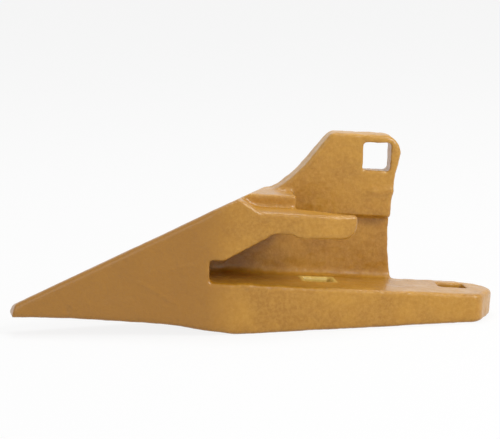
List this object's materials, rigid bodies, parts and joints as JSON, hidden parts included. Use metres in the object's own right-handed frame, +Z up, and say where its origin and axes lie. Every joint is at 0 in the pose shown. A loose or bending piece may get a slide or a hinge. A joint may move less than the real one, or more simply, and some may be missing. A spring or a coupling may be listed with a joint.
{
  "type": "corner bucket tooth",
  "caption": "Cast steel corner tooth for a loader bucket: a wedge nose, a leg and a finger that fork over the bucket lip, and an upright ear, with square bolt holes.",
  "frame": {"origin": "on the sole, half-way between the two leg bolts", "axes": "+X from the tip to the back of the leg, +Y to the outer side with the ear, +Z up from the sole"},
  "size_m": [0.3605, 0.079, 0.1396],
  "materials": {
    "cast_steel_painted": "golden ochre paint over a rough casting, fairly glossy"
  },
  "bodies": {
    "root": {"corner_tooth": "cast_steel_painted"}
  },
  "joints": []
}
